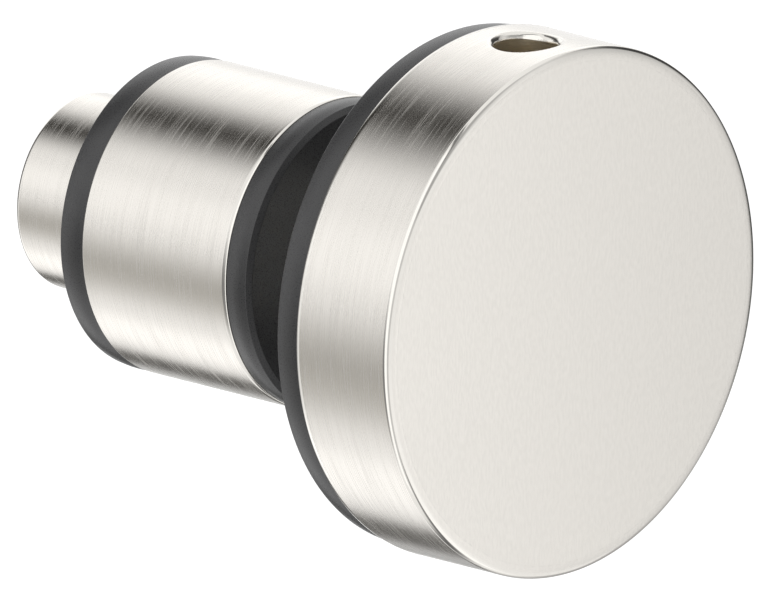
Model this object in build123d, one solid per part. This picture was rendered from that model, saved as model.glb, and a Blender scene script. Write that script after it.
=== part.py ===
from build123d import *
import os
from math import cos, radians, sin, tan

# Round bracket that clamps a glass shower screen through a hole in the glass.
# Everything is turned about the X axis. The origin is on that axis, where the rear gasket meets
# the wall or rail. +X points to the clamp disc in front of the glass, and +Z points up.
# All sizes are in millimetres.

# Clamp disc
disc_diameter = 50.0
disc_thickness = 11.5
disc_edge_radius = 0.5
disc_roll_radius = 3.0
disc_roll_angle = 18.0
disc_web = 2.2
hub_diameter = 15.0
hub_setback = 0.5

# Tommy-bar hole, drilled into the rim of the clamp disc
tommy_diameter = 6.0
tommy_depth = 8.5
tommy_lip_radius = 0.6
drill_point_angle = 118.0

# Gaskets
disc_gasket_setback = 0.5
disc_gasket_thickness = 2.9
body_gasket_setback = 0.05
front_gasket_thickness = 2.8
rear_gasket_thickness = 2.9
gasket_chamfer = 0.35

# Room for the glass, between the disc gasket and the front gasket
glass_gap = 12.7

# Body
body_diameter = 29.5
body_length = 18.0
body_chamfer = 0.15
boss_margin = 0.3

# End barrel, the spigot that goes into the wall or rail
barrel_diameter = 18.4
barrel_length = 10.7
barrel_chamfer = 0.45
fixing_thread_diameter = 6.0
fixing_mouth_chamfer = 0.4

# Stud and its thread
stud_diameter = 8.0
stud_end_chamfer = 0.8
stud_in_barrel = 4.6
thread_pitch = 1.25
closing_turns = 2.25

# Sleeve round the stud
sleeve_diameter = 14.0
sleeve_chamfer = 0.4

# Small edges and clearances
edge_break = 0.2
thread_clearance = 0.05
hub_clearance = 0.1
sleeve_clearance = 0.1
stud_end_clearance = 0.4
sleeve_end_clearance = 1.0

# Stations along the axis, from the barrel's end to the disc's face
barrel_end = -barrel_length
rear_gasket_back = 0.0
body_back = rear_gasket_back + rear_gasket_thickness
body_front = body_back + body_length
glass_back = body_front + front_gasket_thickness
glass_front = glass_back + glass_gap
disc_back = glass_front + disc_gasket_thickness
disc_front = disc_back + disc_thickness
hub_end = glass_front + hub_setback

# The disc moves towards the body by one pitch for each turn, so the stud stops short of the
# bottom of its hole, and the sleeve stops short of the hub, by that travel and a clearance.
closing_travel = closing_turns * thread_pitch
disc_bore_bottom = disc_front - disc_web
stud_front = disc_bore_bottom - closing_travel - stud_end_clearance
stud_back = rear_gasket_back - stud_in_barrel
sleeve_front = hub_end - closing_travel - sleeve_end_clearance

# Each gasket is set back from the rim of the metal that carries it, and the rear one fits round
# a boss that is a little wider than the barrel, so nothing stands over its wall face.
disc_gasket_diameter = disc_diameter - 2 * disc_gasket_setback
body_gasket_diameter = body_diameter - 2 * body_gasket_setback
boss_diameter = barrel_diameter + 2 * boss_margin


def turned(*outline):
    """Turn a half section round the X axis. Each corner is (place along X, radius)."""
    return revolve(make_face(Polyline(*outline, close=True)), Axis.X)


def rim_edge(part, x, diameter):
    """The round edge of a turned part at a place along X, of a given diameter."""
    rims = part.edges().filter_by(GeomType.CIRCLE)
    return rims.sort_by_distance((x, diameter / 2, 0))[0]


def bevelled(part, x, diameter, width):
    """Bevel one turned edge of a part."""
    return chamfer(rim_edge(part, x, diameter), width)


def ring(back, front, outer_diameter, inner_diameter):
    """A turned ring with a square section."""
    outer = outer_diameter / 2
    inner = inner_diameter / 2
    return turned((back, inner), (back, outer), (front, outer), (front, inner))


def gasket(back, front, outer_diameter, inner_diameter):
    """A rubber ring whose two outer edges are bevelled."""
    blank = ring(back, front, outer_diameter, inner_diameter)
    blank = bevelled(blank, back, outer_diameter, gasket_chamfer)
    return bevelled(blank, front, outer_diameter, gasket_chamfer)


def tommy_drill():
    """The drill that makes the tommy-bar hole, standing on the disc's rim and pointing down."""
    radius = tommy_diameter / 2
    point_height = radius / tan(radians(drill_point_angle / 2))
    floor = disc_diameter / 2 - tommy_depth
    shank = tommy_depth + tommy_lip_radius
    middle = (disc_back + disc_front) / 2
    drill = Cylinder(radius, shank, align=(Align.CENTER, Align.CENTER, Align.MIN))
    drill += Pos(0, 0, -point_height) * Cone(
        0, radius, point_height, align=(Align.CENTER, Align.CENTER, Align.MIN)
    )
    return Pos(middle, 0, floor) * drill


def disc_front_edge():
    """The disc's front edge in half section: a soft roll out of the face, then a tight rounding."""
    turn = radians(disc_roll_angle)
    difference = disc_roll_radius - disc_edge_radius
    roll_start = disc_diameter / 2 - disc_edge_radius - difference * sin(turn)
    edge_start = disc_front - disc_roll_radius + difference * cos(turn)
    roll = CenterArc((disc_front - disc_roll_radius, roll_start), disc_roll_radius, 0, disc_roll_angle)
    centre = (edge_start, disc_diameter / 2 - disc_edge_radius)
    return roll, CenterArc(centre, disc_edge_radius, disc_roll_angle, 90 - disc_roll_angle)


def clamp_disc():
    """Disc with a tapped blind hub at its back and a tommy-bar hole in the top of its rim."""
    rim = disc_diameter / 2
    hub = hub_diameter / 2
    bore = stud_diameter / 2 + thread_clearance
    roll, edge = disc_front_edge()
    outline = Polyline(
        edge @ 1, (disc_back, rim), (disc_back, hub), (hub_end, hub), (hub_end, bore),
        (disc_bore_bottom, bore), (disc_bore_bottom, 0), (disc_front, 0), roll @ 0,
    )
    disc = revolve(make_face(outline + roll + edge), Axis.X)
    disc = bevelled(disc, disc_back, disc_diameter, edge_break)
    disc -= tommy_drill()
    mouth = disc.edges().sort_by_distance(((disc_back + disc_front) / 2, 0, rim + tommy_diameter))[0]
    return fillet(mouth, tommy_lip_radius)


def body():
    """Stand-off with a tapped through bore and a low boss that centres the rear gasket."""
    outer = body_diameter / 2
    bore = stud_diameter / 2
    boss = boss_diameter / 2
    blank = turned(
        (rear_gasket_back, bore), (rear_gasket_back, boss), (body_back, boss), (body_back, outer),
        (body_front, outer), (body_front, bore),
    )
    return bevelled(blank, body_front, body_diameter, body_chamfer)


def end_barrel():
    """Spigot tapped from the front for the stud and from its end for a fixing bolt."""
    outer = barrel_diameter / 2
    stud = stud_diameter / 2
    fixing = fixing_thread_diameter / 2
    barrel = turned(
        (barrel_end, fixing), (barrel_end, outer), (rear_gasket_back, outer),
        (rear_gasket_back, stud), (stud_back, stud), (stud_back, fixing),
    )
    barrel = bevelled(barrel, barrel_end, barrel_diameter, barrel_chamfer)
    return bevelled(barrel, barrel_end, fixing_thread_diameter, fixing_mouth_chamfer)


def clamp_stud():
    """Headless stud from the end barrel through the body into the clamp disc."""
    stud = turned(
        (stud_back, 0), (stud_back, stud_diameter / 2), (stud_front, stud_diameter / 2), (stud_front, 0)
    )
    stud = bevelled(stud, stud_back, stud_diameter, stud_end_chamfer)
    return bevelled(stud, stud_front, stud_diameter, stud_end_chamfer)


def glass_sleeve():
    """Plastic sleeve that stands on the body and lines the hole in the glass."""
    sleeve = ring(body_front, sleeve_front, sleeve_diameter, stud_diameter + 2 * sleeve_clearance)
    return bevelled(sleeve, sleeve_front, sleeve_diameter, sleeve_chamfer)


parts = {
    "clamp_disc": clamp_disc(),
    "disc_gasket": gasket(glass_front, disc_back, disc_gasket_diameter, hub_diameter + 2 * hub_clearance),
    "glass_sleeve": glass_sleeve(),
    "clamp_stud": clamp_stud(),
    "body": body(),
    "front_gasket": gasket(body_front, glass_back, body_gasket_diameter, sleeve_diameter),
    "rear_gasket": gasket(rear_gasket_back, body_back, body_gasket_diameter, boss_diameter),
    "end_barrel": end_barrel(),
}

os.makedirs("parts", exist_ok=True)
for name, part in parts.items():
    part.label = name
    export_step(part, f"parts/{name}.step")
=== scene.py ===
import logging
import math
from dataclasses import dataclass, field
from enum import Enum
from typing import Iterable, Sequence

import bpy
from bpy.types import ID, Material, Mesh, MeshPolygon, NodeSocket, NodeTree, Object
from mathutils import Matrix, Vector


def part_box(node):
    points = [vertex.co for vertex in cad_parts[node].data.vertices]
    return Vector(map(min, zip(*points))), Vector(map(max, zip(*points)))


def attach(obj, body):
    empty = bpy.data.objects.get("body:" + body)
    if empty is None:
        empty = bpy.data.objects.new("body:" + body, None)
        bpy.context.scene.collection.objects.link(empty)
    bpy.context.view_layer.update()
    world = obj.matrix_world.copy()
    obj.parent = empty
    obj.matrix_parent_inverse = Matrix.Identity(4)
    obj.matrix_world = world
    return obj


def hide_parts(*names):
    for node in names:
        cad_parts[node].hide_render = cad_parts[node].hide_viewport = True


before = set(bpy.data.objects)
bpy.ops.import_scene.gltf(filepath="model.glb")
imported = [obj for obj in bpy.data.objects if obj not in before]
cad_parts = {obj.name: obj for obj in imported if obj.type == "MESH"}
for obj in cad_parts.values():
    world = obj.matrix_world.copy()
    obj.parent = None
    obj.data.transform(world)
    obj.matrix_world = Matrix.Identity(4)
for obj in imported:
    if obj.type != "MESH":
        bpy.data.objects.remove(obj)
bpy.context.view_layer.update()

# Looks of a through-glass clamp bracket: brushed nickel, dark rubber and a white studio.
# Lengths are in metres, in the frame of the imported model: +X points along the bracket's axis to
# the clamp disc, and +Z points up. Turned pieces are made round their own Z axis and then laid
# along +X, so that the grain of the metal runs round them.

log = logging.getLogger("bracket")

MM = 0.001
HAIR = 0.01 * MM
TURNED_TO_FRAME = Matrix.Rotation(math.radians(90), 4, "Y")
QUARTER = math.pi / 2
USUAL_NOISE = (0.3, 0.7)

Pair = tuple[float, float]
Triple = tuple[float, float, float]


class Body(Enum):
    """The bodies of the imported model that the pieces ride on."""

    BRACKET = "bracket"
    GASKET = "gasket"
    DISC = "disc"


class Slot(Enum):
    """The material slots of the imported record."""

    METAL = "brushed_metal"
    STUD = "stud_steel"
    RUBBER = "gasket_rubber"
    SLEEVE = "sleeve_plastic"


class Signal:
    """The output of a shader node, with the operators that shader maths needs."""

    def __init__(self, tree: "ShaderTree", socket: NodeSocket | None) -> None:
        """Keep an output socket, or None, and the tree that it belongs to."""
        self.tree = tree
        self.socket = socket

    def _math(self, operation: str, first: "Signal | float", second: "Signal | float") -> "Signal":
        """Add one Math node on two values."""
        return self.tree.node("ShaderNodeMath", {"operation": operation}, {0: first, 1: second})

    def __add__(self, other: "Signal | float") -> "Signal":
        """Add a value to this one."""
        return self._math("ADD", self, other)

    __radd__ = __add__

    def __sub__(self, other: "Signal | float") -> "Signal":
        """Take a value from this one."""
        return self._math("SUBTRACT", self, other)

    def __rsub__(self, other: "Signal | float") -> "Signal":
        """Take this value from another."""
        return self._math("SUBTRACT", other, self)

    def __mul__(self, other: "Signal | float") -> "Signal":
        """Multiply this value by another."""
        return self._math("MULTIPLY", self, other)

    __rmul__ = __mul__

    def __abs__(self) -> "Signal":
        """This value without its sign."""
        return self._math("ABSOLUTE", self, 0.0)

    def largest(self, other: "Signal | float") -> "Signal":
        """The larger of this value and another."""
        return self._math("MAXIMUM", self, other)


class ShaderTree:
    """A node tree that is filled by node(), from an empty start."""

    def __init__(self, tree: NodeTree) -> None:
        """Empty the tree of a material or of the world."""
        self.tree = tree
        self.tree.nodes.clear()

    def node(
        self,
        kind: str,
        settings: dict[str, object] | None = None,
        inputs: dict[int | str, object] | None = None,
        output: int | str = 0,
    ) -> Signal:
        """Add one node.

        Args:
            kind: the node's Blender type.
            settings: its settings, which are set before its sockets.
            inputs: a value or a Signal for each socket, by the socket's name or number.
            output: the output socket that is wanted.

        Returns:
            That output.
        """
        made = self.tree.nodes.new(kind)
        for setting, value in (settings or {}).items():
            setattr(made, setting, value)
        for key, value in (inputs or {}).items():
            if isinstance(value, Signal):
                self.tree.links.new(value.socket, made.inputs[key])
            else:
                made.inputs[key].default_value = value
        return Signal(self, made.outputs[output] if made.outputs else None)

    def place(self) -> Signal:
        """The point being shaded, in the piece's own axes."""
        return self.node("ShaderNodeTexCoord", output="Object")

    def parts_of(self, vector: Signal) -> tuple[Signal, Signal, Signal]:
        """The three parts of a vector."""
        split = self.node("ShaderNodeSeparateXYZ", inputs={0: vector}).socket.node
        return tuple(Signal(self, output) for output in split.outputs)

    def vectors(self, operation: str, first: object, second: object = (0.0, 0.0, 0.0)) -> Signal:
        """Add one Vector Math node on two vectors."""
        return self.node("ShaderNodeVectorMath", {"operation": operation}, {0: first, 1: second})

    def noise(self, grains: Triple, detail: float = 2.0) -> Signal:
        """Smooth noise over the piece.

        Args:
            grains: how many grains there are in a metre along the piece's X, Y and Z axes.
            detail: how many finer layers are added.

        Returns:
            A value from 0 to 1, mostly near a half.
        """
        place = self.vectors("MULTIPLY", self.place(), grains)
        inputs = {"Vector": place, "Scale": 1.0, "Detail": detail, "Roughness": 0.5}
        return self.node("ShaderNodeTexNoise", {"noise_dimensions": "3D"}, inputs)

    def between(self, value: Signal, low: float, high: float, start: float, end: float) -> Signal:
        """A value moved smoothly from the range low to high into the range start to end."""
        inputs = {0: value, 1: low, 2: high, 3: start, 4: end}
        return self.node("ShaderNodeMapRange", {"interpolation_type": "SMOOTHSTEP"}, inputs)

    def mixed(self, factor: Signal, first: Triple, second: Triple) -> Signal:
        """A colour between two colours.

        Args:
            factor: 0 for the first colour and 1 for the second.
            first: the first colour, red, green and blue.
            second: the second colour.

        Returns:
            The colour.
        """
        made = self.node("ShaderNodeMix", {"data_type": "RGBA"}, {0: factor}).socket.node
        colour_sockets = [s for s in made.inputs if s.type == "RGBA"]
        for socket, colour in zip(colour_sockets, (first, second)):
            socket.default_value = (*colour, 1.0)
        return Signal(self, next(s for s in made.outputs if s.type == "RGBA"))

    def round_the_piece(self) -> Signal:
        """The direction round the piece's own Z axis, in the frame's axes.

        Returns:
            A vector of length 1.
        """
        settings = {"vector_type": "VECTOR", "convert_from": "OBJECT", "convert_to": "WORLD"}
        own = self.vectors("CROSS_PRODUCT", (0.0, 0.0, 1.0), self.place())
        return self.vectors("NORMALIZE", self.node("ShaderNodeVectorTransform", settings, {0: own}))

    def leaned(self, way: Signal, amount: Signal) -> Signal:
        """The surface's normal, leaned a little.

        Args:
            way: the direction that it leans in.
            amount: how far it leans, in radians.

        Returns:
            The new normal.
        """
        facing = self.node("ShaderNodeNewGeometry", output="Normal")
        lean = self.node("ShaderNodeVectorMath", {"operation": "SCALE"}, {0: way, "Scale": amount})
        return self.vectors("NORMALIZE", self.vectors("ADD", facing, lean))

    def surface(self, shader: Signal, kind: str = "ShaderNodeOutputMaterial") -> None:
        """Make a shader the tree's surface."""
        self.node(kind, inputs={"Surface": shader})


def empty_material(name: str) -> tuple[Material, ShaderTree]:
    """Make a material without nodes.

    Args:
        name: the material's name.

    Returns:
        The material and its tree.
    """
    made = bpy.data.materials.new(name)
    made.use_nodes = True
    return made, ShaderTree(made.node_tree)


@dataclass(frozen=True)
class Finish:
    """A finish makes one material, once, under its label."""

    label: str

    def dress(self, tree: ShaderTree) -> Signal:
        """Add the finish's nodes and return its shader."""
        raise NotImplementedError

    def material(self) -> Material:
        """The finish's material, made on first use.

        Returns:
            The material.
        """
        found = bpy.data.materials.get(self.label)
        if found is not None:
            return found
        made, tree = empty_material(self.label)
        tree.surface(self.dress(tree))
        return made


@dataclass(frozen=True)
class TurnedMetal(Finish):
    """Nickel with short brush marks that run round the piece.

    Each mark scatters the light more than the metal round it, so the marks show as light streaks
    where the reflection is dark and fade where it is bright.

    Attributes:
        colour: its colour.
        dull_colour: its colour where the marks crowd in patches.
        marks_round: marks in a metre of the way round.
        marks_along: marks in a metre of the piece's axis.
        mark_noise: the noise where a mark starts, and where it is deepest.
        patch_noise: the same for the patches.
        patch_size: how many times larger the patches are than the marks.
        bare_marks: the share of the marks' depth that is left outside the patches.
        lean: how far the marks lean the surface, in radians.
        roughness: how rough the metal is between its marks.
        patch_roughness: how much rougher it is in the patches.
        mark_roughness: how rough the marks are.
        mark_strength: the share of the light that the deepest marks scatter.
        across_the_grain: how much further the light spreads along the axis.
    """

    colour: Triple = (0.806, 0.776, 0.730)
    dull_colour: Triple = (0.796, 0.767, 0.721)
    marks_round: float = 165.0
    marks_along: float = 7000.0
    mark_noise: Pair = (0.44, 0.72)
    patch_noise: Pair = (0.35, 0.65)
    patch_size: float = 4.5
    bare_marks: float = 0.3
    lean: float = 0.003
    roughness: float = 0.16
    patch_roughness: float = 0.02
    mark_roughness: float = 0.38
    mark_strength: float = 0.72
    across_the_grain: float = 0.8

    def _grain(self, tree: ShaderTree, size: float, detail: float) -> Signal:
        """Noise drawn out round the piece, with grains that are size times the marks."""
        around, along = self.marks_round / size, self.marks_along / size
        return tree.noise((around, around, along), detail)

    def dress(self, tree: ShaderTree) -> Signal:
        """Add the turned metal's nodes.

        Args:
            tree: the material's tree.

        Returns:
            The shader.
        """
        marks = self._grain(tree, 1.0, detail=1.5)
        patches = tree.between(self._grain(tree, self.patch_size, detail=2.0), *self.patch_noise, 0, 1)
        share = patches * (1 - self.bare_marks) + self.bare_marks
        depth = tree.between(marks, *self.mark_noise, 0, 1) * share
        inputs = {
            "Base Color": tree.mixed(patches, self.colour, self.dull_colour),
            "Metallic": 1.0,
            "Roughness": patches * self.patch_roughness + self.roughness,
            "Anisotropic": self.across_the_grain,
            "Anisotropic Rotation": 0.25,
            "Normal": tree.leaned(tree.round_the_piece(), (marks - 0.5) * self.lean),
        }
        plain = tree.node("ShaderNodeBsdfPrincipled", inputs=inputs)
        scratched = {"Base Color": (*self.colour, 1.0), "Metallic": 1.0, "Roughness": self.mark_roughness}
        marked = tree.node("ShaderNodeBsdfPrincipled", inputs=scratched)
        return tree.node("ShaderNodeMixShader", inputs={0: depth * self.mark_strength, 1: plain, 2: marked})


@dataclass(frozen=True)
class GrainedFinish(Finish):
    """A finish whose colour, roughness and height follow a fine grain.

    Attributes:
        colour: its colour where the grain is low.
        high_colour: its colour where the grain is high.
        roughness: how rough it is where the grain is low, and where it is high.
        grains: grains in a metre along the piece's X, Y and Z axes.
        depth: how high the grain stands, in metres.
        detail: how many finer layers the grain has.
        clouds: the same as grains, where the colour follows coarser clouds instead.
        plain: values for other sockets of the shader.
    """

    colour: Triple
    high_colour: Triple
    roughness: tuple[float, float]
    grains: Triple
    depth: float
    detail: float = 2.0
    clouds: Triple | None = None
    plain: tuple[tuple[str, object], ...] = (("Metallic", 1.0),)

    def dress(self, tree: ShaderTree) -> Signal:
        """Add the grained finish's nodes.

        Args:
            tree: the material's tree.

        Returns:
            The shader.
        """
        grain = tree.noise(self.grains, self.detail)
        shade = tree.noise(self.clouds) if self.clouds else grain
        bump = {"Height": grain, "Distance": self.depth, "Strength": 1.0}
        inputs = {
            "Base Color": tree.mixed(
                tree.between(shade, *USUAL_NOISE, 0, 1), self.colour, self.high_colour
            ),
            "Roughness": tree.between(grain, *USUAL_NOISE, *self.roughness),
            "Normal": tree.node("ShaderNodeBump", inputs=bump),
            **dict(self.plain),
        }
        return tree.node("ShaderNodeBsdfPrincipled", inputs=inputs)


@dataclass(frozen=True)
class LinedMetal(GrainedFinish):
    """Nickel with very faint straight lines, as on the face of the disc."""

    colour: Triple = (0.816, 0.788, 0.741)
    high_colour: Triple = (0.790, 0.762, 0.716)
    roughness: Pair = (0.24, 0.26)
    grains: Triple = (1500.0, 4600.0, 1500.0)
    depth: float = 0.0008 * MM
    detail: float = 1.0


@dataclass(frozen=True)
class DrilledMetal(GrainedFinish):
    """The same nickel with rings left by a drill, or by a die where it is a thread."""

    colour: Triple = (0.80, 0.73, 0.60)
    high_colour: Triple = (0.68, 0.61, 0.48)
    roughness: Pair = (0.28, 0.40)
    grains: Triple = (6500.0, 650.0, 650.0)
    depth: float = 0.012 * MM


@dataclass(frozen=True)
class PolishedMetal(GrainedFinish):
    """Nickel that has been buffed, as on the lip of the tommy-bar hole."""

    colour: Triple = (0.815, 0.790, 0.745)
    high_colour: Triple = (0.800, 0.775, 0.730)
    roughness: Pair = (0.08, 0.13)
    grains: Triple = (900.0, 900.0, 900.0)
    depth: float = 0.0008 * MM


@dataclass(frozen=True)
class Rubber(GrainedFinish):
    """Dark grey moulded rubber with a fine matt skin."""

    colour: Triple = (0.036, 0.036, 0.037)
    high_colour: Triple = (0.041, 0.041, 0.042)
    roughness: Pair = (0.25, 0.37)
    grains: Triple = (9000.0, 9000.0, 9000.0)
    depth: float = 0.0008 * MM
    detail: float = 3.0
    clouds: Triple = (360.0, 360.0, 360.0)
    plain: tuple[tuple[str, object], ...] = (("IOR", 1.55),)


@dataclass(frozen=True)
class MilkyPlastic(GrainedFinish):
    """Natural nylon: milky white, with a faint cloud in it and a satin skin."""

    colour: Triple = (0.80, 0.79, 0.74)
    high_colour: Triple = (0.74, 0.73, 0.68)
    roughness: Pair = (0.33, 0.46)
    grains: Triple = (400.0, 400.0, 5200.0)
    depth: float = 0.008 * MM
    clouds: Triple = (700.0, 700.0, 260.0)
    plain: tuple[tuple[str, object], ...] = (
        ("Subsurface Weight", 0.25), ("Subsurface Radius", (1.0, 0.9, 0.7)), ("Subsurface Scale", 0.8 * MM),
    )


TURNED_NICKEL = TurnedMetal("turned_nickel")
LINED_NICKEL = LinedMetal("lined_nickel")
POLISHED_NICKEL = PolishedMetal("polished_nickel")
DRILLED_NICKEL = DrilledMetal("drilled_nickel")
THREADED_STEEL = DrilledMetal(
    "threaded_steel", colour=(0.62, 0.62, 0.61), high_colour=(0.50, 0.50, 0.49), roughness=(0.22, 0.34),
)
GASKET_RUBBER = Rubber("moulded_rubber")
SLEEVE_NYLON = MilkyPlastic("sleeve_nylon")


@dataclass(frozen=True)
class Corner:
    """One corner of a turned section.

    Attributes:
        along: its place along the axis.
        radius: its distance from the axis.
        rounding: the radius that rounds it off, or 0 for a sharp corner.
        buffed: True where the rounding has the second finish.
        drawn_out: how many times longer the rounding is on the side before the corner.
    """

    along: float
    radius: float
    rounding: float = 0.0
    buffed: bool = False
    drawn_out: float = 1.0


@dataclass(frozen=True)
class Station:
    """A point of a section, and the way that the surface faces there."""

    along: float
    radius: float
    facing: Vector


Run = tuple[Station, Station, int]


def direction(turn: float) -> Vector:
    """The direction at an angle from the axis in a section, in radians."""
    return Vector((math.cos(turn), math.sin(turn)))


def arc(middle: Vector, radius: float, start: float, end: float, steps: int) -> list[Station]:
    """An arc of a section between two directions in radians, with the exact facing all along."""
    facings = [direction(start + (end - start) * k / steps) for k in range(steps + 1)]
    return [Station(*(middle + facing * radius), facing) for facing in facings]


@dataclass
class Skin:
    """The smooth mesh of one piece while it is gathered, with exact normals.

    Attributes:
        segments: flats round its turned parts.
        vertices: its vertices.
        faces: the vertex numbers of each face.
        normals: the normal at each corner of each face.
        finishes: the number of each face's finish.
    """

    segments: int
    vertices: list[Sequence[float]] = field(default_factory=list)
    faces: list[tuple[int, ...]] = field(default_factory=list)
    normals: list[Sequence[float]] = field(default_factory=list)
    finishes: list[int] = field(default_factory=list)

    def turn(self, runs: Sequence[Run], closed: bool) -> None:
        """Turn a chain of runs round the Z axis.

        Args:
            runs: the ends of each run and the number of its finish, with the material on its left.
            closed: True where the chain's end is its start.
        """
        turns = [2 * math.pi * k / self.segments for k in range(self.segments)]
        circle = [(math.cos(t), math.sin(t)) for t in turns]
        first = len(self.vertices)
        rings = [start for start, _, _ in runs]
        if not closed:
            rings.append(runs[-1][1])
        self.vertices += [(r.radius * c, r.radius * s, r.along) for r in rings for c, s in circle]
        for index, (start, end, finish) in enumerate(runs):
            here = first + index * self.segments
            there = first + (index + 1) % len(rings) * self.segments
            for k in range(self.segments):
                following = (k + 1) % self.segments
                self.faces.append((here + k, here + following, there + following, there + k))
                self.finishes.append(finish)
                for station, place in ((start, k), (start, following), (end, following), (end, k)):
                    along, outward = station.facing
                    c, s = circle[place]
                    self.normals.append((outward * c, outward * s, along))

    def mesh(self, name: str) -> Mesh:
        """Make the mesh.

        Args:
            name: the mesh's name.

        Returns:
            The mesh, smooth, with its own normals.
        """
        made = bpy.data.meshes.new(name)
        made.from_pydata(self.vertices, [], self.faces)
        made.polygons.foreach_set("use_smooth", [True] * len(self.faces))
        made.polygons.foreach_set("material_index", self.finishes)
        made.normals_split_custom_set(self.normals)
        made.update()
        return made


@dataclass
class Turning:
    """A closed section turned round the Z axis, with exact normals.

    Attributes:
        corners: the section's corners, in order, with the material on their left.
        segments: flats round the circle.
        arc_steps: flats in each rounded corner.
    """

    corners: Sequence[Corner]
    segments: int = 192
    arc_steps: int = 8

    def _rounded(self, index: int) -> list[Station]:
        """One corner's rounding, or the corner itself where it is sharp.

        Args:
            index: the corner's number.

        Returns:
            The stations, from the side before the corner to the side after it.
        """
        corner = self.corners[index]
        here = Vector((corner.along, corner.radius))
        if corner.rounding == 0:
            return [Station(*here, Vector((0.0, 0.0)))]
        neighbours = (self.corners[index - 1], self.corners[(index + 1) % len(self.corners)])
        to_before, to_after = ((Vector((c.along, c.radius)) - here).normalized() for c in neighbours)
        half_angle = to_before.angle(to_after) / 2
        setback = corner.rounding / math.tan(half_angle)
        first, last = to_before * setback * corner.drawn_out, to_after * setback
        middle = (first + last) / (2 * math.cos(half_angle) ** 2)
        first, last = first - middle, last - middle
        swing = math.pi - 2 * half_angle
        stations = []
        for step in range(self.arc_steps + 1):
            done = swing * step / self.arc_steps
            spoke = (first * math.sin(swing - done) + last * math.sin(done)) / math.sin(swing)
            travel = last * math.cos(done) - first * math.cos(swing - done)
            stations.append(Station(*(here + middle + spoke), self._facing(travel)))
        return stations

    @staticmethod
    def _facing(travel: Vector) -> Vector:
        """The outward direction of a run, square to its travel."""
        return Vector((-travel.y, travel.x)).normalized()

    def _runs(self) -> list[Run]:
        """Cut the section up into short runs.

        Returns:
            The runs, with finish 1 where they are buffed.
        """
        rounded = [self._rounded(index) for index in range(len(self.corners))]
        runs = []
        for index, corner in enumerate(self.corners):
            stations = rounded[index]
            runs += [(start, end, int(corner.buffed)) for start, end in zip(stations, stations[1:])]
            last, first = stations[-1], rounded[(index + 1) % len(rounded)][0]
            facing = self._facing(Vector((first.along - last.along, first.radius - last.radius)))
            runs.append((*(Station(end.along, end.radius, facing) for end in (last, first)), 0))
        return runs

    def mesh(self, name: str) -> Mesh:
        """Make the turned mesh.

        Args:
            name: the mesh's name.

        Returns:
            The mesh.
        """
        skin = Skin(self.segments)
        skin.turn(self._runs(), closed=True)
        return skin.mesh(name)


@dataclass
class Thread:
    """A screw thread turned round the Z axis, rising by one pitch in each turn.

    Attributes:
        start: where it starts along the axis.
        end: where it ends.
        crest: the radius of the crests, or of the roots of an inside thread.
        pitch: the distance between neighbouring crests.
        depth: how far the flanks go in from the crest radius.
        taper: how far the ends are bevelled down.
        inside: True for the thread of a hole.
        segments: flats round the circle.
        steps: flats in one pitch.
        flat_share: the share of the pitch that is flat at the crest, and at the root.
        sharp_angle: the angle from which an edge is creased, in degrees.
        spare_turns: turns that are cut past the ends and pressed flat onto them.
    """

    start: float
    end: float
    crest: float
    pitch: float
    depth: float
    taper: float = 0.0
    inside: bool = False
    segments: int = 72
    steps: int = 12
    flat_share: float = 0.125
    sharp_angle: float = 35.0
    spare_turns: int = 2

    def _drop(self, share: float) -> float:
        """How deep the thread is at one place.

        Args:
            share: how far the place is from a crest, as a share of the pitch.

        Returns:
            The depth under the crests.
        """
        from_crest = abs((share + 0.5) % 1.0 - 0.5) * 2
        flank = (from_crest - self.flat_share) / (1 - 2 * self.flat_share)
        return min(max(flank, 0.0), 1.0) * self.depth

    def _vertex(self, share: float, turn: float) -> Triple:
        """One vertex of the thread.

        Args:
            share: how many pitches it stands from the first crest, along the axis.
            turn: how far round it is, in turns.

        Returns:
            Its place, pressed onto the thread's ends where it lies past them.
        """
        along = self.start + (share + turn - 1) * self.pitch
        kept = min(max(along, self.start), self.end)
        radius = self.crest - self._drop(share % 1.0)
        if self.taper:
            from_end = min(kept - self.start, self.end - kept)
            radius = min(radius, self.crest - max(self.taper - from_end, 0.0))
        angle = 2 * math.pi * turn
        return (radius * math.cos(angle), radius * math.sin(angle), kept)

    def _faces(self, last_row: int) -> list[tuple[int, ...]]:
        """The faces between the rows of vertices.

        Args:
            last_row: the number of the last row.

        Returns:
            The faces, with both flat ends unless it is an inside thread.
        """
        faces = []
        for row in range(last_row):
            for k in range(self.segments):
                next_row = row + self.steps if k + 1 == self.segments else row
                if next_row >= last_row:
                    continue
                here, right = row * self.segments + k, next_row * self.segments + (k + 1) % self.segments
                quad = (here, right, right + self.segments, here + self.segments)
                faces.append(quad[::-1] if self.inside else quad)
        if not self.inside:
            ring = range(self.segments)
            faces += [tuple(reversed(ring)), tuple(last_row * self.segments + k for k in ring)]
        return faces

    def mesh(self, name: str) -> Mesh:
        """Make the thread's mesh, closed by flat ends unless it is an inside thread.

        Args:
            name: the mesh's name.

        Returns:
            The mesh, smooth where it isn't creased.
        """
        turns = math.ceil((self.end - self.start) / self.pitch) + self.spare_turns
        last_row = turns * self.steps
        vertices = [
            self._vertex(row / self.steps, k / self.segments)
            for row in range(last_row + 1) for k in range(self.segments)
        ]
        made = bpy.data.meshes.new(name)
        made.from_pydata(vertices, [], self._faces(last_row))
        made.validate()
        made.polygons.foreach_set("use_smooth", [True] * len(made.polygons))
        made.set_sharp_from_angle(angle=math.radians(self.sharp_angle))
        made.update()
        return made


def linked(name: str, data: ID) -> Object:
    """Make an object and put it into the scene.

    Args:
        name: the object's name.
        data: its mesh, lamp or camera.

    Returns:
        The object.
    """
    made = bpy.data.objects.new(name, data)
    bpy.context.scene.collection.objects.link(made)
    return made


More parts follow.
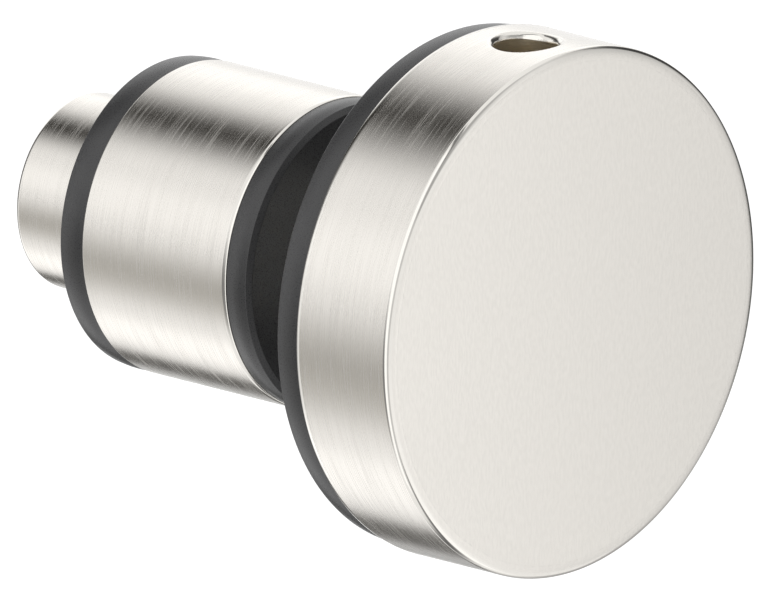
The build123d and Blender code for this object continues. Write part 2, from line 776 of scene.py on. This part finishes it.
def show(mesh: Mesh, body: Body, finishes: Iterable[Finish]) -> Object:
    """Make a piece of a mesh that was turned round its own Z axis.

    Args:
        mesh: the mesh, whose name the piece takes.
        body: the body that it rides on.
        finishes: the finishes of the mesh's material slots, in order.

    Returns:
        The piece.
    """
    piece = linked(mesh.name, mesh)
    piece.matrix_world = TURNED_TO_FRAME
    for finish in finishes:
        mesh.materials.append(finish.material())
    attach(piece, body.value)
    return piece


class DiscFinish(Enum):
    """The finishes of the clamp disc, as the numbers of its material slots."""

    TURNED = 0
    LINED = 1
    BUFFED = 2
    DRILLED = 3


@dataclass
class ClampDisc:
    """The clamp disc: a lined face, a turned rim, and a tommy-bar hole with a buffed lip.

    Attributes:
        node: the CAD node that it stands for.
        front_radii: the radius of the front edge's tight rounding, and of its soft roll.
        back_radii: the same for the back edge.
        roll_angle: how far each roll turns, in degrees.
        steps: flats in each roll and each rounding.
        lined_steps: flats of the front roll that are lined like the face.
        segments: flats round the edges.
        hole_radius: the radius of the tommy-bar hole.
        lip_radius: the radius that rounds its lip.
        hole_depth: how deep it goes into the rim.
        thickness: how thick the disc is at its rim.
        face_facing: the least X part of the normal of a face facet.
        finishes: its finishes, in the order of DiscFinish.
    """

    node: str = "clamp_disc"
    front_radii: Pair = (0.5 * MM, 3.0 * MM)
    back_radii: Pair = (0.08 * MM, 1.5 * MM)
    roll_angle: float = 18.0
    steps: int = 12
    lined_steps: int = 8
    segments: int = 320
    hole_radius: float = 3.0 * MM
    lip_radius: float = 0.6 * MM
    hole_depth: float = 8.5 * MM
    thickness: float = 11.5 * MM
    face_facing: float = 0.9
    finishes: tuple[Finish, ...] = (TURNED_NICKEL, LINED_NICKEL, POLISHED_NICKEL, DRILLED_NICKEL)

    def _finish_of(self, facet: MeshPolygon, rim: float, front: float) -> DiscFinish:
        """Which finish one facet of the disc has, away from its outer edges.

        Args:
            facet: the facet.
            rim: the radius of the disc.
            front: where the disc's face is along the axis.

        Returns:
            The finish.
        """
        centre = facet.center
        from_hole = math.hypot(centre.x - (front - self.thickness / 2), centre.y)
        in_hole = centre.z > rim - self.hole_depth - 2 * self.hole_radius
        if in_hole and from_hole < self.hole_radius:
            return DiscFinish.DRILLED
        if in_hole and from_hole < self.hole_radius + self.lip_radius:
            return DiscFinish.BUFFED
        return DiscFinish.LINED if facet.normal.x > self.face_facing else DiscFinish.TURNED

    def _edge(self, corner: Vector, radii: Pair, turns: Triple) -> list[Station]:
        """The section of one outer edge: a tight rounding that runs on into a soft roll.

        Args:
            corner: where the sides that it joins would meet, along the axis and from it.
            radii: the radius of the rounding and of the roll.
            turns: the directions at the start, where they join, and at the end, in radians.

        Returns:
            The stations.
        """
        start, join, end = (direction(turn) for turn in turns)
        radius, roll_radius = radii
        apart = roll_radius - radius
        reach = corner.dot(end) - roll_radius + apart * join.dot(end)
        middle = start * (corner.dot(start) - radius) + end * reach
        rounding = arc(middle, radius, turns[0], turns[1], self.steps)
        return rounding + arc(middle - join * apart, roll_radius, turns[1], turns[2], self.steps)[1:]

    @staticmethod
    def _eased(place: Vector, edge: list[Station]) -> Vector:
        """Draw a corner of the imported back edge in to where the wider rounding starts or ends.

        Args:
            place: the corner, with Z along the axis.
            edge: the back edge, from the back to the rim.

        Returns:
            Where the corner goes. Every other place stays as it is.
        """
        at_back, at_rim = edge[0], edge[-1]
        radius = math.hypot(place.x, place.y)
        if radius > at_rim.radius - HAIR and place.z < at_rim.along:
            return Vector((place.x, place.y, at_rim.along))
        if radius > at_back.radius and place.z < at_back.along + HAIR:
            share = at_back.radius / radius
            return Vector((place.x * share, place.y * share, place.z))
        return place

    def _packed_part(self, back_edge: list[Station], front_edge: list[Station]) -> Skin:
        """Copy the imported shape, apart from its two outer edges.

        Args:
            back_edge: the finely turned back edge, from the back to the rim.
            front_edge: the finely turned front edge, from the rim to the face.

        Returns:
            A skin with the facets that are kept.
        """
        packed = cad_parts[self.node].data
        to_turned = TURNED_TO_FRAME.inverted().to_3x3()
        skin = Skin(self.segments)
        skin.vertices = [self._eased(to_turned @ vertex.co, back_edge) for vertex in packed.vertices]
        rim = back_edge[-1].radius
        front = front_edge[-1].along
        for facet in packed.polygons:
            along, from_axis = facet.center.x, math.hypot(facet.center.y, facet.center.z)
            on_front = along > front_edge[0].along + HAIR and from_axis > front_edge[-1].radius + HAIR
            on_back = along < back_edge[-1].along - HAIR and from_axis > back_edge[0].radius + HAIR
            if on_front or on_back:
                continue
            skin.faces.append(tuple(facet.vertices))
            skin.normals += [to_turned @ packed.corner_normals[k].vector for k in facet.loop_indices]
            skin.finishes.append(self._finish_of(facet, rim, front).value)
        return skin

    def build(self) -> Object:
        """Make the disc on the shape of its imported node, with finely turned edges.

        Returns:
            The piece.
        """
        _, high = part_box(self.node)
        roll = math.radians(self.roll_angle)
        back, front = (Vector((along, high.z)) for along in (high.x - self.thickness, high.x))
        back_edge = self._edge(back, self.back_radii, (math.pi, QUARTER + roll, QUARTER))
        front_edge = self._edge(front, self.front_radii, (QUARTER, roll, 0.0))
        skin = self._packed_part(back_edge, front_edge)
        for edge, lined_steps in ((back_edge, 0), (front_edge, self.lined_steps)):
            buffed_steps = 2 * self.steps - lined_steps
            kinds = [DiscFinish.BUFFED.value] * buffed_steps + [DiscFinish.LINED.value] * lined_steps
            skin.turn(list(zip(edge, edge[1:], kinds)), closed=False)
        piece = show(skin.mesh("disc_shell"), Body.DISC, self.finishes)
        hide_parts(self.node)
        return piece


FREE_EDGE = (0.18 * MM, 0.28 * MM)
METAL_EDGE = (0.18 * MM, 0.08 * MM)


@dataclass
class Gasket:
    """A rubber ring that lies flat on metal at one side and has a rounded edge at the other.

    Attributes:
        node: the CAD node that it stands for.
        body: the body that it rides on.
        bore_radius: the radius of its hole.
        behind: how far its -X edge lies under its crest, and the radius that rounds it.
        ahead: the same for its +X edge.
        crest_height: how far its crest stands over the plain ring of the CAD node.
        crest_rounding: the radius of the crest.
        bevel: the length of the bevel at its +X side, or 0 for none.
        bevel_slope: the height of the bevel over its length.
        bore_rounding: the radius of the edges of its hole.
    """

    node: str
    body: Body
    bore_radius: float
    behind: Pair
    ahead: Pair
    crest_height: float = 0.07 * MM
    crest_rounding: float = 6.5 * MM
    bevel: float = 0.0
    bevel_slope: float = 1.3
    bore_rounding: float = 0.15 * MM

    def build(self) -> Object:
        """Turn the ring between the faces of its CAD node.

        Returns:
            The piece.
        """
        low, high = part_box(self.node)
        crest = high.z + self.crest_height
        (drop_behind, rounding_behind), (drop_ahead, rounding_ahead) = self.behind, self.ahead
        corners = [
            Corner(low.x, self.bore_radius, self.bore_rounding),
            Corner(low.x, crest - drop_behind, rounding_behind),
            Corner((low.x + high.x) / 2, crest, self.crest_rounding),
            Corner(high.x - self.bevel, crest - drop_ahead, rounding_ahead),
        ]
        if self.bevel:
            foot = crest - drop_ahead - self.bevel_slope * self.bevel
            corners.append(Corner(high.x, foot, rounding_ahead))
        corners.append(Corner(high.x, self.bore_radius, self.bore_rounding))
        mesh = Turning(corners).mesh(f"{self.node}_ring")
        piece = show(mesh, self.body, [GASKET_RUBBER])
        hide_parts(self.node)
        return piece


@dataclass
class StandOff:
    """The body between the gaskets, with a boss that centres the rear gasket."""

    node: str = "body"
    boss_radius: float = 9.5 * MM
    boss_length: float = 2.9 * MM
    bore_radius: float = 4.0 * MM
    front_rounding: float = 0.14 * MM
    front_drawn_out: float = 3.6
    small_rounding: float = 0.2 * MM

    def build(self) -> Object:
        """Turn the body.

        Returns:
            The piece.
        """
        low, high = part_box(self.node)
        shoulder = low.x + self.boss_length
        corners = [
            Corner(low.x, self.bore_radius),
            Corner(low.x, self.boss_radius, self.small_rounding),
            Corner(shoulder, self.boss_radius),
            Corner(shoulder, high.z, self.small_rounding),
            Corner(high.x, high.z, self.front_rounding, True, self.front_drawn_out),
            Corner(high.x, self.bore_radius),
        ]
        mesh = Turning(corners).mesh("stand_off")
        piece = show(mesh, Body.BRACKET, [TURNED_NICKEL, POLISHED_NICKEL])
        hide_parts(self.node)
        return piece


@dataclass
class EndBarrel:
    """The spigot that goes into the wall, with a thread cut into its end."""

    node: str = "end_barrel"
    stud_radius: float = 4.0 * MM
    stud_depth: float = 4.6 * MM
    fixing_radius: float = 3.0 * MM
    fixing_pitch: float = 1.0 * MM
    fixing_thread_depth: float = 0.54 * MM
    mouth: float = 0.4 * MM
    end_rounding: float = 0.6 * MM
    small_rounding: float = 0.08 * MM

    def build(self) -> list[Object]:
        """Turn the spigot and cut the thread of its fixing hole.

        Returns:
            The spigot and its thread.
        """
        low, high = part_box(self.node)
        step = high.x - self.stud_depth
        corners = [
            Corner(low.x + self.mouth, self.fixing_radius),
            Corner(low.x, self.fixing_radius + self.mouth, self.small_rounding),
            Corner(low.x, high.z, self.end_rounding, buffed=True),
            Corner(high.x, high.z, self.small_rounding),
            Corner(high.x, self.stud_radius),
            Corner(step, self.stud_radius),
            Corner(step, self.fixing_radius),
        ]
        mesh = Turning(corners).mesh("spigot")
        shell = show(mesh, Body.BRACKET, [TURNED_NICKEL, POLISHED_NICKEL])
        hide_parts(self.node)
        cut = Thread(
            low.x + self.mouth, step, self.fixing_radius, self.fixing_pitch,
            self.fixing_thread_depth, inside=True,
        )
        thread = show(cut.mesh("fixing_thread"), Body.BRACKET, [DRILLED_NICKEL])
        return [shell, thread]


@dataclass
class Stud:
    """The threaded stud that joins the spigot, the body and the disc."""

    node: str = "clamp_stud"
    pitch: float = 1.25 * MM
    depth: float = 0.72 * MM
    end_bevel: float = 0.8 * MM

    def build(self) -> Object:
        """Cut the stud's thread over its whole length.

        Returns:
            The piece.
        """
        low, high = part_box(self.node)
        cut = Thread(low.x, high.x, high.z, self.pitch, self.depth, taper=self.end_bevel)
        piece = show(cut.mesh("threaded_stud"), Body.BRACKET, [THREADED_STEEL])
        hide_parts(self.node)
        return piece


@dataclass
class Sleeve:
    """The plastic sleeve that lines the hole in the glass."""

    node: str = "glass_sleeve"
    bore_radius: float = 4.1 * MM
    end_rounding: float = 0.4 * MM

    def build(self) -> Object:
        """Turn the sleeve.

        Returns:
            The piece.
        """
        low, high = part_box(self.node)
        corners = [
            Corner(low.x, self.bore_radius),
            Corner(low.x, high.z),
            Corner(high.x, high.z, self.end_rounding),
            Corner(high.x, self.bore_radius, self.end_rounding / 2),
        ]
        mesh = Turning(corners).mesh("nylon_sleeve")
        piece = show(mesh, Body.BRACKET, [SLEEVE_NYLON])
        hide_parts(self.node)
        return piece


WARM_BLACK = (1.0, 0.93, 0.82)
WARM_GREY = (1.02, 1.0, 0.95)


@dataclass(frozen=True)
class StudioCard:
    """A soft-edged card that only reflections see.

    Attributes:
        name: what it is for.
        towards: the direction from the bracket to its middle.
        width: its size along its own X axis.
        height: its size along its own Y axis.
        level: how bright it is, where 1 is the white of the studio.
        softness: the share of each half of its height that fades out.
        distance: how far from the bracket it hangs.
        end_softness: the same as softness, for its width.
        tint: its colour, red, green and blue.
        long_way: the direction of its width, where that isn't level.
        grid: how many squares its mesh has each way.
    """

    name: str
    towards: Triple
    width: float
    height: float
    level: float
    softness: float
    distance: float
    end_softness: float
    tint: Triple = (1.0, 1.0, 1.0)
    long_way: Triple | None = None
    grid: int = 8

    @classmethod
    def beside_the_axis(cls, name: str, angle: float, lean: float, *rest: object) -> "StudioCard":
        """A card whose width runs along the bracket's axis.

        Args:
            name: what it is for.
            angle: where it is round the axis, 0 for straight up and 90 for the -Y side, in degrees.
            lean: the X part of the direction to it, from -1 to 1.
            rest: its other fields, from its width on.

        Returns:
            The card.
        """
        across = math.sqrt(1 - lean * lean)
        turn = math.radians(angle)
        towards = (lean, -math.sin(turn) * across, math.cos(turn) * across)
        return cls(name, towards, *rest, long_way=(1, 0, 0))

    def _axes(self) -> tuple[Vector, Vector, Vector]:
        """Where the card's own axes point.

        Returns:
            Its X, Y and Z axes, with Z towards the bracket.
        """
        back = -Vector(self.towards).normalized()
        wide = Vector(self.long_way) if self.long_way else Vector((0, 0, 1)).cross(back)
        wide = (wide - back * wide.dot(back)).normalized()
        return wide, back.cross(wide), back

    def _material(self) -> Material:
        """Make the card's glow, which fades to clear at its edges.

        Returns:
            Its material.
        """
        made, tree = empty_material(f"{self.name}_glow")
        across, up, _ = tree.parts_of(tree.place())
        ends = tree.between(abs(across) * (2 / self.width), 1 - self.end_softness, 1.0, 1.0, 0.0)
        sides = tree.between(abs(up) * (2 / self.height), 1 - self.softness, 1.0, 1.0, 0.0)
        clear = tree.node("ShaderNodeBsdfTransparent")
        inputs = {"Color": (*self.tint, 1.0), "Strength": self.level}
        glow = tree.node("ShaderNodeEmission", inputs=inputs)
        tree.surface(tree.node("ShaderNodeMixShader", inputs={0: ends * sides, 1: clear, 2: glow}))
        return made

    def build(self) -> Object:
        """Hang the card.

        Returns:
            The card.
        """
        wide, tall, back = self._axes()
        steps = [k / self.grid - 0.5 for k in range(self.grid + 1)]
        vertices = [(x * self.width, y * self.height, 0.0) for y in steps for x in steps]
        row = self.grid + 1
        starts = [j * row + k for j in range(self.grid) for k in range(self.grid)]
        mesh = bpy.data.meshes.new(self.name)
        mesh.from_pydata(vertices, [], [(s, s + 1, s + row + 1, s + row) for s in starts])
        mesh.materials.append(self._material())
        card = linked(self.name, mesh)
        turn = Matrix((wide, tall, back)).transposed().to_4x4()
        card.matrix_world = Matrix.Translation(-back * self.distance) @ turn
        card.visible_camera = False
        card.visible_diffuse = False
        card.visible_shadow = False
        return card


@dataclass
class Studio:
    """A white room with a pale floor, soft lamps, and cards for the metal to reflect.

    Attributes:
        cards: the cards.
        floor_height: how high the floor is, well below the bracket.
        floor_size: its side.
        floor_colour: its colour.
        floor_glow: how much of the studio's white it adds where it is seen.
        room_light: how much light the white room gives to the bracket.
        lamp_size: the side of each lamp's square.
    """

    cards: Sequence[StudioCard]
    floor_height: float = -60 * MM
    floor_size: float = 6.0
    floor_colour: Triple = (0.9, 0.9, 0.9)
    floor_glow: float = 0.4
    room_light: float = 0.72
    lamp_size: float = 0.9

    def _white_to_the_eye(self, tree: ShaderTree) -> Signal:
        """Tell the rays that show the background, straight or in metal or glass, from the rest.

        Args:
            tree: the tree that asks.

        Returns:
            1 for those rays, and 0 for the rest.
        """
        path = tree.node("ShaderNodeLightPath").socket.node
        camera, glossy, through = (
            Signal(tree, path.outputs[name])
            for name in ("Is Camera Ray", "Is Glossy Ray", "Is Transmission Ray")
        )
        return camera.largest(glossy).largest(through)

    def room(self) -> None:
        """Make the white room."""
        world = bpy.data.worlds.new("white_room")
        world.use_nodes = True
        bpy.context.scene.world = world
        tree = ShaderTree(world.node_tree)
        strength = self._white_to_the_eye(tree) * (1 - self.room_light) + self.room_light
        glow = tree.node("ShaderNodeBackground", inputs={"Color": (1, 1, 1, 1), "Strength": strength})
        tree.surface(glow, "ShaderNodeOutputWorld")

    def floor(self) -> Object:
        """Lay the pale floor, which keeps the bracket's shadow.

        Returns:
            The floor.
        """
        half = self.floor_size / 2
        mesh = bpy.data.meshes.new("floor")
        corners = [(-half, -half, 0), (half, -half, 0), (half, half, 0), (-half, half, 0)]
        mesh.from_pydata(corners, [], [(0, 1, 2, 3)])
        made, tree = empty_material("pale_floor")
        paint = tree.node("ShaderNodeBsdfDiffuse", inputs={"Color": (*self.floor_colour, 1.0)})
        seen = self._white_to_the_eye(tree) * self.floor_glow
        glow = tree.node("ShaderNodeEmission", inputs={"Strength": seen})
        tree.surface(tree.node("ShaderNodeAddShader", inputs={0: paint, 1: glow}))
        mesh.materials.append(made)
        floor = linked("floor", mesh)
        floor.location.z = self.floor_height
        floor.visible_glossy = False
        return floor

    def lamp(self, name: str, towards: Triple, power: float) -> None:
        """Hang a soft lamp that shines on the bracket.

        Args:
            name: what the lamp is called.
            towards: the direction from the bracket to the lamp.
            power: its power, in watts.
        """
        light = bpy.data.lights.new(name, "AREA")
        light.size = self.lamp_size
        light.energy = power
        lamp = linked(name, light)
        way = Vector(towards).normalized()
        lamp.location = way
        lamp.rotation_mode = "QUATERNION"
        lamp.rotation_quaternion = way.to_track_quat("Z", "Y")
        lamp.visible_camera = False
        lamp.visible_glossy = False

    def build(self) -> None:
        """Make the room, the floor, the lamps and the cards."""
        self.room()
        self.floor()
        self.lamp("key_lamp", towards=(0.0, -0.55, 0.82), power=1.6)
        self.lamp("side_lamp", towards=(-0.7, -0.6, 0.35), power=0.7)
        for card in self.cards:
            card.build()


@dataclass
class Viewpoint:
    """A level camera without perspective, at the photograph's angle.

    Attributes:
        azimuth: 0 looks along +Y and 90 along -X, in degrees.
        elevation: above the horizon, in degrees.
        aim: the point that the middle of the picture shows.
        frame_width: how much of the scene the picture's width shows.
        distance: how far the camera stands from the aim.
        clip: the nearest and the farthest that it sees.
    """

    azimuth: float = 42.84
    elevation: float = 15.78
    aim: Triple = (37.925 * MM, -11.305 * MM, 1.646 * MM)
    frame_width: float = 71.06 * MM
    distance: float = 0.5
    clip: Pair = (0.01, 10.0)

    def build(self) -> Object:
        """Set up the camera.

        Returns:
            The camera.
        """
        turn, rise = math.radians(self.azimuth), math.radians(self.elevation)
        level = Vector((math.sin(turn), -math.cos(turn), 0.0))
        back = level * math.cos(rise) + Vector((0.0, 0.0, math.sin(rise)))
        data = bpy.data.cameras.new("photo_view")
        data.type = "ORTHO"
        data.ortho_scale = self.frame_width
        data.clip_start, data.clip_end = self.clip
        camera = linked("photo_view", data)
        camera.location = Vector(self.aim) + back * self.distance
        camera.rotation_mode = "QUATERNION"
        camera.rotation_quaternion = (-back).to_track_quat("-Z", "Y")
        bpy.context.scene.camera = camera
        return camera


# Name, angle, lean, width, height, level, softness, distance, end softness, and the tint if it has one.
CARDS_BESIDE_THE_AXIS = (
    ("camera_panel", 86.9, 0.365, 1.848, 5.739, 1.283, 0.09, 1.130, 0.21),
    ("back_softbox", -58.0, -0.293, 1.455, 0.927, 1.304, 0.77, 1.120, 0.24),
    ("front_softbox", 68.8, -0.704, 0.729, 0.748, 1.151, 0.86, 1.110, 0.62),
    ("low_softbox", 172.4, -0.735, 0.431, 0.710, 1.400, 0.86, 1.100, 0.23),
    ("behind_softbox", -113.2, -0.762, 0.866, 0.705, 1.181, 0.92, 1.090, 0.17),
    ("far_side_flag", -74.8, 0.337, 1.693, 1.844, 0.577, 0.86, 1.085, 0.78),
    ("front_grey", 83.9, 0.968, 0.781, 3.949, 0.681, 0.67, 1.070, 0.28),
    ("top_grey", -5.4, 0.874, 0.949, 1.753, 0.457, 0.87, 1.060, 0.34),
    ("overhead_flag", 2.4, -0.893, 1.822, 1.154, 0.030, 0.99, 1.050, 0.11, WARM_BLACK),
    ("side_flag", 119.3, -0.440, 1.140, 0.957, 0.508, 0.99, 1.040, 0.43, WARM_GREY),
    ("low_flag", -139.6, -0.320, 0.984, 0.863, 0.601, 0.42, 1.030, 0.24),
    ("low_dark_flag", -152.4, -0.585, 1.533, 0.521, 0.114, 0.79, 1.020, 0.27, WARM_GREY),
    ("top_gap", 13.1, 0.400, 1.200, 0.200, 0.220, 0.40, 1.000, 0.12),
    ("low_gap", -176.0, 0.284, 1.715, 0.642, 0.162, 0.92, 0.990, 0.15),
    ("camera_hole", 109.7, -0.222, 0.797, 1.743, 0.248, 0.98, 0.980, 0.08),
    ("low_side_flag", -129.5, -0.172, 1.281, 0.952, 0.442, 0.83, 0.970, 0.12),
    ("right_softbox", -154.0, 0.663, 1.314, 0.501, 1.257, 0.58, 0.965, 0.97),
    ("far_side_gap", -84.1, 0.103, 0.908, 1.837, 0.055, 0.68, 0.962, 0.24),
)

CARDS = (
    *(StudioCard.beside_the_axis(*row) for row in CARDS_BESIDE_THE_AXIS),
    StudioCard("back_line_softbox", (-0.85, 0.42, 0.31), 0.60, 0.60, 1.20, 0.60, 0.945, 0.60),
    StudioCard("back_line_flag", (-0.93, -0.11, -0.34), 0.50, 0.50, 0.52, 0.80, 0.940, 0.80),
    StudioCard("wall_flag", (-1.0, 0.0, 0.0), 1.05, 1.05, 0.15, 0.50, 0.960, 0.50, long_way=(0, 1, 0)),
    StudioCard("face_flag", (0.639, 0.735, -0.224), 0.156, 0.19, 0.83, 0.50, 0.227, 0.73),
    StudioCard("face_softbox", (0.654, 0.706, -0.272), 0.58, 0.58, 1.18, 0.75, 0.950, 0.60),
)


def main() -> None:
    """Build the pieces, light them and set up the camera."""
    logging.basicConfig(level=logging.INFO, format="%(name)s: %(message)s")
    pieces = [
        ClampDisc().build(),
        Gasket("disc_gasket", Body.GASKET, 7.6 * MM, FREE_EDGE, METAL_EDGE, crest_height=0.15 * MM).build(),
        Sleeve().build(),
        Stud().build(),
        StandOff().build(),
        Gasket(
            "front_gasket", Body.BRACKET, 7.0 * MM, METAL_EDGE, (0.16 * MM, 0.12 * MM),
            crest_rounding=4.0 * MM, bevel=0.4 * MM,
        ).build(),
        Gasket("rear_gasket", Body.BRACKET, 9.5 * MM, FREE_EDGE, METAL_EDGE).build(),
        *EndBarrel().build(),
    ]
    for piece in pieces:
        log.info("%s has %d faces", piece.name, len(piece.data.polygons))
    Studio(CARDS).build()
    Viewpoint().build()
    bpy.context.scene.view_settings.view_transform = "Standard"


if __name__ == "__main__":
    main()
